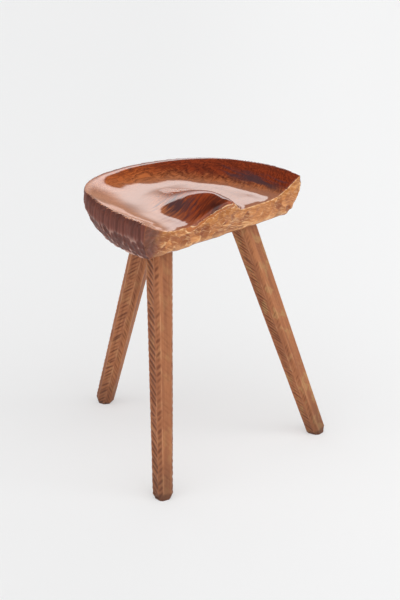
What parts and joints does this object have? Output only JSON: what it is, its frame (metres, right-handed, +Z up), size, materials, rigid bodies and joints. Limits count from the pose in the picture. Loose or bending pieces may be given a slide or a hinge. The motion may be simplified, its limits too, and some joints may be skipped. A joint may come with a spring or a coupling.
{
  "type": "three-legged saddle stool",
  "caption": "Low wooden stool with a carved saddle seat, a raised pommel at the front and splayed, chamfered legs wedged into blind sockets.",
  "frame": {"origin": "on the floor under the middle of the box round the three feet", "axes": "+Z up, -Y the way the sitter faces, where the pommel and the straight front face are, +X to the right for someone who looks at the front; left and right in the names are that person's too"},
  "size_m": [0.3837, 0.37, 0.4555],
  "materials": {
    "seat_wood": "glossy varnish, reddish brown",
    "leg_wood": "satin, tooled with slanting gouge cuts",
    "wedge_wood": "bare split hardwood"
  },
  "bodies": {
    "root": {"seat": "seat_wood", "leg_front_left": "leg_wood", "leg_front_right": "leg_wood", "leg_back": "leg_wood", "wedge_front_left": "wedge_wood", "wedge_front_right": "wedge_wood", "wedge_back": "wedge_wood"}
  },
  "joints": []
}
